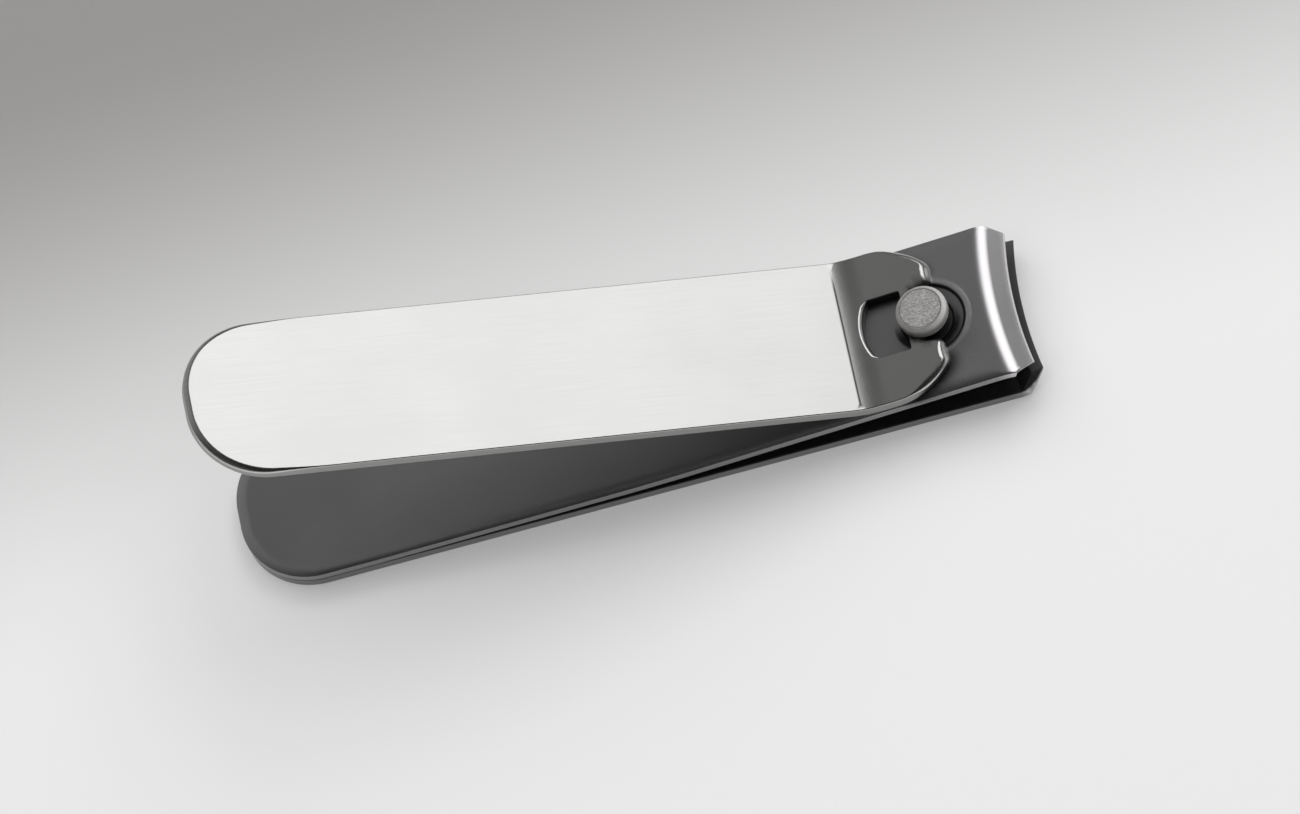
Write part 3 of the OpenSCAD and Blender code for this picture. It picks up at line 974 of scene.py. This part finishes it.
class Nodes:
    """Short calls for the node tree of a material or a world."""

    def __init__(self, owner, space="Object"):
        owner.use_nodes = True
        self.owner = owner
        self.tree = owner.node_tree
        self.place = self.add("ShaderNodeTexCoord").outputs[space]

    def add(self, kind, **values):
        node = self.tree.nodes.new(kind)
        for key, value in values.items():
            setattr(node, key, value)
        return node

    def link(self, output, socket):
        self.tree.links.new(output, socket)

    def feed(self, **values):
        """Sets or links inputs of the material's shader, such as Base_Color."""
        shader = self.tree.nodes["Principled BSDF"]
        for key, value in values.items():
            socket = shader.inputs[key.replace("_", " ")]
            if isinstance(value, (int, float, tuple)):
                socket.default_value = value
            else:
                self.link(value, socket)

    def noise(self, stretch, detail, rotation=(0, 0, 0)):
        """Noise whose grains are stretch millimetres long along each axis."""
        mapping = self.add("ShaderNodeMapping")
        mapping.inputs["Rotation"].default_value = rotation
        mapping.inputs["Scale"].default_value = [1 / (s * MM) for s in stretch]
        self.link(self.place, mapping.inputs["Vector"])
        noise = self.add("ShaderNodeTexNoise")
        noise.inputs["Scale"].default_value = 1
        noise.inputs["Detail"].default_value = detail
        self.link(mapping.outputs["Vector"], noise.inputs["Vector"])
        return noise.outputs["Fac"]

    def value(self, name):
        """A value that the mesh carries at its points."""
        return self.add("ShaderNodeAttribute", attribute_name=name).outputs["Fac"]

    def ranged(self, value, low, high, over=NOISE_RANGE, how="LINEAR"):
        """From low to high as the value runs over a range, which is the one that noise fills
        if none is given."""
        node = self.add("ShaderNodeMapRange", interpolation_type=how)
        for key, number in zip(("From Min", "From Max", "To Min", "To Max"), (*over, low, high)):
            node.inputs[key].default_value = number
        self.link(value, node.inputs["Value"])
        return node.outputs["Result"]

    def math(self, operation, a, b=0):
        node = self.add("ShaderNodeMath", operation=operation)
        for socket, value in zip(node.inputs, (a, b)):
            if isinstance(value, (int, float)):
                socket.default_value = value
            else:
                self.link(value, socket)
        return node.outputs["Value"]

    def mix(self, factor, first, second):
        node = self.add("ShaderNodeMix", data_type="RGBA")
        self.link(factor, node.inputs["Factor"])
        for socket, value in ((node.inputs["A"], first), (node.inputs["B"], second)):
            if isinstance(value, tuple):
                socket.default_value = (*value, 1)
            else:
                self.link(value, socket)
        return node.outputs["Result"]

    def bump(self, height, distance, after=None):
        node = self.add("ShaderNodeBump")
        node.inputs["Distance"].default_value = distance * MM
        self.link(height, node.inputs["Height"])
        if after is not None:
            self.link(after, node.inputs["Normal"])
        return node.outputs["Normal"]


def new_material(name):
    return Nodes(bpy.data.materials.new(name))


def satin_steel(name, colour, rough, grain, inner_painted_shade):
    """Steel brushed lengthwise. Cut edges are duller, the inner side is dull and darkened with
    painted shade, bends and edges are bright from wear and also painted with a highlight, and there
    is painted shade, made rougher too, where the piece's own values say so."""
    m = new_material(name)
    brushed = m.noise(grain, 4)
    clouds = m.noise(CLOUD_SIZE, 3)
    edge, under, wear_and_sheen = m.value("edge"), m.value("under"), m.value("wear_and_sheen")
    polish_and_sheen, painted_shade = m.value("polish_and_sheen"), m.value("painted_shade")
    tone = m.mix(m.ranged(brushed, 0, 1), *(shade(colour, factor) for factor in BRUSH_SHADES))
    tone = m.mix(m.ranged(clouds, 0, CLOUD_SHARE), tone, shade(colour, CLOUD_SHADE))
    tone = m.mix(m.ranged(edge, 0, 1, EDGE_RANGE), tone, shade(colour, EDGE_SHADE))
    # Brighter where polished or bright from wear, and a painted highlight there too
    tone = m.mix(m.math("MAXIMUM", polish_and_sheen, wear_and_sheen), tone, shade(colour, POLISH_AND_SHEEN_SHADE))
    # Painted shade on the inner side, which faces the other parts
    tone = m.mix(under, tone, shade(colour, inner_painted_shade))
    # Painted shade where the piece's values say so, also rougher below
    tone = m.mix(painted_shade, tone, shade(colour, PAINTED_SHADE_TONE))
    dull = m.math("MULTIPLY", edge, EDGE_ROUGH)
    for value, share in ((under, UNDER_ROUGH), (painted_shade, PAINTED_SHADE_ROUGH)):
        dull = m.math("MAXIMUM", dull, m.math("MULTIPLY", value, share))
    cloudy = m.ranged(clouds, rough + CLOUD_ROUGH[0], rough + CLOUD_ROUGH[1])
    m.feed(Base_Color=tone, Metallic=1, Roughness=m.math("ADD", cloudy, dull),
           Normal=m.bump(brushed, BRUSH_DEPTH))
    return m.owner


def turned_steel(name, colour, rough):
    """Turned steel: fine rings about the axis, a top that is scratched in three directions
    inside a ring of painted shade, a rim bright from wear and painted with a highlight, and a neck
    darkened with painted shade."""
    m = new_material(name)
    turns = [m.noise(SCRATCH_SIZE, 3, (0, 0, math.radians(a))) for a in SCRATCH_ANGLES]
    scratches = m.math("MAXIMUM", m.math("MAXIMUM", turns[0], turns[1]), turns[2])
    specks = m.noise(SPECK_SIZE, 3)
    marks = m.math("ADD", m.math("MULTIPLY", scratches, SCRATCH_SHARE),
                   m.math("MULTIPLY", specks, SPECK_SHARE))
    ring, top, low, wear_and_sheen = (m.value(key) for key in ("ring", "top", "low", "wear_and_sheen"))
    rings = m.math("SINE", m.math("MULTIPLY", ring, RINGS_PER_MM * 2 * math.pi))
    marked = m.mix(
        m.ranged(marks, 0, 1, MARK_RANGE), *(shade(colour, factor) for factor in MARK_SHADES))
    # A ring of painted shade on the top, just inside its edge
    from_groove = m.math("ABSOLUTE", m.math("ADD", ring, HEAD_TOP - GROOVE_R))
    groove = m.ranged(from_groove, 1, 0, (0, GROOVE_W))
    marked = m.mix(groove, marked, shade(colour, GROOVE_SHADE))
    # The rim is brighter from wear and a painted highlight, strongest towards the jaws
    tone = m.mix(wear_and_sheen, m.mix(top, colour, marked), shade(colour, WEAR_AND_SHEEN_SHADE))
    turned_sides = m.bump(m.math("MULTIPLY", rings, m.math("SUBTRACT", 1, top)), RING_DEPTH)
    m.feed(
        # Painted shade on the neck under the head
        Base_Color=m.mix(low, tone, shade(colour, LOW_SHADE)), Metallic=PIN_METALLIC,
        Roughness=m.ranged(marks, rough - MARK_ROUGH, rough + MARK_ROUGH, MARK_ROUGH_RANGE),
        Normal=m.bump(m.math("MULTIPLY", marks, top), SCRATCH_DEPTH, turned_sides))
    return m.owner


def dull_steel(name, colour):
    """Unpolished steel with a fine grain."""
    m = new_material(name)
    grains = m.noise(GRAIN_SIZE, 4)
    m.feed(
        Base_Color=m.mix(m.ranged(grains, 0, 1), shade(colour, GRAIN_SHADE), colour), Metallic=1,
        Roughness=m.ranged(grains, *GRAIN_ROUGH), Normal=m.bump(grains, GRAIN_DEPTH))
    return m.owner


# Stage: camera, floor and light

# The photograph: 1300 by 814 pixels, taken with a long lens from above the near side
IMAGE_W = 1300
PX_PER_MM = 10.259
CAMERA_RIGHT = Vector((0.9619, -0.1876, -0.1990))
CAMERA_UP = Vector((0.2577, 0.8656, 0.4293))
CAMERA_FAR = 1.124
SENSOR = 36.0
CLIP_END = 20
ORIGIN_PX = (637.6, 422.7)
CENTRE_PX = (650.0, 407.0)

# Soft boxes: name, direction, direction of the first side, sides in degrees, radiance and
# whether steel shows them. The first one stands where the lever's panel reflects it
LAMP_FAR = 1.2
LAMPS = (
    ("panel_box", (0.362, 0.485, 0.797), (1.49, 0, -0.915), (28, 44), 1.53, True),
    ("side_box", (0.95, 0.05, 0.30), (0, 1, 0), (60, 26), 0.5, True),
    ("fill_box", (-0.1, 0.3, 0.95), (1, 0, 0), (90, 90), 1.1, False)
)

# Floor: its colours from the near side to the far side, darker far off as painted shade, and where
# one goes over to the other
FLOOR_HALF = 2.0
FLOOR_GLOW = 0.15
FLOOR_PALE = (0.84, 0.84, 0.838)
FLOOR_FAR_SHADE = (0.37, 0.36, 0.355)
FLOOR_FADE = (-0.05, 1.0, 0)
FLOOR_RANGE = (-0.010, 0.062)
FLOOR_ROUGH = 0.9
FLOOR_CLOUD_SIZE = (120, 120, 120)
FLOOR_CLOUDS = 0.01

# Room: its light on the near and the far side, its share on the side of the jaws, and where
# these go over into each other
ROOM_NEAR = 0.05
ROOM_FAR = 0.265
ROOM_Y_RANGE = (-0.3, 0.6)
ROOM_SIDE = 0.42
ROOM_X_RANGE = (-0.25, -0.07)


def placed(at, right, up, back):
    """The matrix of a camera or lamp that stands at a place and looks away from back."""
    return Matrix.Translation(at) @ Matrix((right, up, back)).transposed().to_4x4()


def build_camera():
    """A camera that sees the row's origin at ORIGIN_PX, at the photograph's scale and roll."""
    right = CAMERA_RIGHT.normalized()
    up = (CAMERA_UP - CAMERA_UP.dot(right) * right).normalized()
    back = right.cross(up)
    across = (CENTRE_PX[0] - ORIGIN_PX[0]) / PX_PER_MM * MM
    above = (ORIGIN_PX[1] - CENTRE_PX[1]) / PX_PER_MM * MM
    data = bpy.data.cameras.new("camera")
    data.sensor_width = SENSOR
    data.lens = SENSOR * CAMERA_FAR / (IMAGE_W / PX_PER_MM * MM)
    data.clip_end = CLIP_END
    camera = bpy.data.objects.new("camera", data)
    at = right * across + up * above + back * CAMERA_FAR
    camera.matrix_world = placed(at, right, up, back)
    bpy.context.scene.collection.objects.link(camera)
    bpy.context.scene.camera = camera


def lamp(name, towards, along, size, radiance, shiny):
    """A soft box that faces the object from a direction, its first side along a second one.
    Its sides are given in degrees, as the object sees them."""
    back = Vector(towards).normalized()
    first = (Vector(along) - Vector(along).dot(back) * back).normalized()
    sides = [2 * LAMP_FAR * math.tan(math.radians(side) / 2) for side in size]
    data = bpy.data.lights.new(name, "AREA")
    data.shape = "RECTANGLE"
    data.size, data.size_y = sides
    data.energy = radiance * math.pi * sides[0] * sides[1]
    box = bpy.data.objects.new(name, data)
    box.matrix_world = placed(back * LAMP_FAR, first, back.cross(first), back)
    box.visible_glossy = shiny
    box.visible_camera = False
    bpy.context.scene.collection.objects.link(box)


def build_floor():
    """Plain pale floor, darkened away from the camera with painted shade."""
    mesh = bpy.data.meshes.new("floor")
    half = FLOOR_HALF
    mesh.from_pydata(
        [(-half, -half, 0), (half, -half, 0), (half, half, 0), (-half, half, 0)],
        [], [(0, 1, 2, 3)])
    floor = bpy.data.objects.new("floor", mesh)
    bpy.context.scene.collection.objects.link(floor)
    m = new_material("pale_floor")
    depth = m.add("ShaderNodeVectorMath", operation="DOT_PRODUCT")
    m.link(m.place, depth.inputs[0])
    depth.inputs[1].default_value = FLOOR_FADE
    near = m.ranged(depth.outputs["Value"], 1, 0, FLOOR_RANGE, "SMOOTHSTEP")
    clouds = m.ranged(m.noise(FLOOR_CLOUD_SIZE, 2), -FLOOR_CLOUDS, FLOOR_CLOUDS)
    rays = m.add("ShaderNodeLightPath").outputs
    seen = m.math("MAXIMUM", rays["Is Camera Ray"], rays["Is Glossy Ray"])
    glow = m.math("MULTIPLY", seen, m.math("MULTIPLY", near, FLOOR_GLOW))
    m.feed(
        # Painted shade: the colour darkens away from the camera
        Base_Color=m.mix(m.math("ADD", near, clouds), FLOOR_FAR_SHADE, FLOOR_PALE),
        Roughness=FLOOR_ROUGH, Emission_Color=(1, 1, 1, 1), Emission_Strength=glow)
    mesh.materials.append(m.owner)


def build_world():
    """A dim room, darker on the near side and on the side of the jaws."""
    world = bpy.data.worlds.new("world")
    bpy.context.scene.world = world
    m = Nodes(world, "Generated")
    split = m.add("ShaderNodeSeparateXYZ")
    m.link(m.place, split.inputs["Vector"])
    level = m.math(
        "MULTIPLY", m.ranged(split.outputs["Y"], ROOM_NEAR, ROOM_FAR, ROOM_Y_RANGE, "SMOOTHSTEP"),
        m.ranged(split.outputs["X"], 1, ROOM_SIDE, ROOM_X_RANGE, "SMOOTHSTEP"))
    m.link(level, m.tree.nodes["Background"].inputs["Color"])


def dress(piece, node, body, material):
    """Puts a piece in its node's place, with its body and material."""
    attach(piece, body)
    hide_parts(node)
    piece.data.materials.append(material)


def main():
    build_camera()
    build_floor()
    build_world()
    for row in LAMPS:
        lamp(*row)

    # Name, colour, roughness, size of the brushed grain and painted shade of the inner side
    arm = satin_steel("arm_steel", (0.52, 0.51, 0.52), 0.24, (14, 0.09, 2), 0.36)
    lever = satin_steel("lever_steel", (0.54, 0.54, 0.53), 0.21, (10, 0.08, 2), 0.55)
    pin = turned_steel("pin_steel", (0.60, 0.59, 0.58), 0.45)
    weld = dull_steel("weld_steel", (0.38, 0.37, 0.38))

    dress(build_lower_arm(), "lower_arm", "lower_arm", arm)
    dress(build_upper_arm(), "upper_arm", "upper_arm", arm)
    dress(build_lever(), "lever", "lever", lever)
    dress(build_pin(), "pin", "pin", pin)
    welds = frame["nodes"]["spot_welds"].data
    welds.materials.clear()
    welds.materials.append(weld)

    bpy.context.scene.view_settings.view_transform = "Standard"


main()
